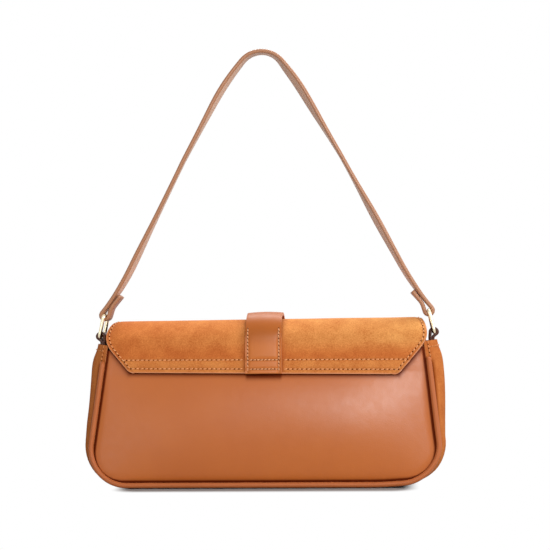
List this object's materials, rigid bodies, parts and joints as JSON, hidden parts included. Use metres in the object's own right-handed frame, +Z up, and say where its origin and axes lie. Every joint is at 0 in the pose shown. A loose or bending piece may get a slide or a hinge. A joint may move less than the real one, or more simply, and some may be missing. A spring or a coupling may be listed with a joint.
{
  "type": "baguette bag",
  "caption": "Small tan leather and suede flap bag with piped panels, an upright strap handle and gold rings.",
  "frame": {"origin": "on the floor under the middle of the bag", "axes": "+X along the width, +Z up, -Y towards the rear panel that the flap is sewn to"},
  "size_m": [0.275, 0.0642, 0.3308],
  "materials": {
    "tan_leather": "smooth tan leather with a soft sheen",
    "tan_suede": "brushed tan suede with a short nap",
    "handle_leather": "tan strap leather with painted edges",
    "lining_cloth": "plain woven cotton lining",
    "stiffener_board": "plain fibre board",
    "pale_gold": "polished pale gold plate",
    "snap_steel": "plated steel"
  },
  "bodies": {
    "bag": {"rear_panel": "tan_leather", "front_panel": "tan_leather", "rear_piping": "tan_leather", "front_piping": "tan_leather", "base_panel": "tan_leather", "left_gusset": "tan_suede", "right_gusset": "tan_suede", "rear_stiffener": "stiffener_board", "front_stiffener": "stiffener_board", "base_board": "stiffener_board", "rear_lining": "lining_cloth", "front_lining": "lining_cloth", "base_lining": "lining_cloth", "left_gusset_lining": "lining_cloth", "right_gusset_lining": "lining_cloth", "slip_pocket": "lining_cloth", "left_ring_anchor": "handle_leather", "right_ring_anchor": "handle_leather", "flap_rear": "tan_suede", "flap_fold": "tan_suede", "flap_lining_rear": "tan_leather", "flap_lining_fold": "tan_leather", "tab_rear": "tan_leather", "tab_fold": "tan_leather", "snap_socket": "snap_steel"},
    "flap": {"flap_front": "tan_suede", "flap_lining_front": "tan_leather", "tab_front": "tan_leather", "snap_stud": "snap_steel"},
    "handle": {"handle_strap": "handle_leather"},
    "left_ring": {"left_ring": "pale_gold"},
    "right_ring": {"right_ring": "pale_gold"}
  },
  "joints": [
    {"name": "flap_open", "type": "hinge", "parent": "bag", "child": "flap", "pos_m": [0, 0.0015, 0.1025], "axis": [1, 0, 0], "range_deg": [0, 80], "deforming": ["flap_fold", "flap_lining_fold", "tab_fold"]},
    {"name": "handle_swing", "type": "hinge", "parent": "bag", "child": "handle", "pos_m": [0, 0, 0.113], "axis": [1, 0, 0], "range_deg": [-20, 40], "deforming": ["left_ring_anchor", "right_ring_anchor"]},
    {"name": "left_ring_tilt", "type": "hinge", "parent": "handle", "child": "left_ring", "pos_m": [-0.1234, 0, 0.1292], "axis": [0, -1, 0], "range_deg": [0, 12], "deforming": ["left_ring_anchor"]},
    {"name": "right_ring_tilt", "type": "hinge", "parent": "handle", "child": "right_ring", "pos_m": [0.1234, 0, 0.1292], "axis": [0, 1, 0], "range_deg": [0, 12], "deforming": ["right_ring_anchor"]}
  ]
}
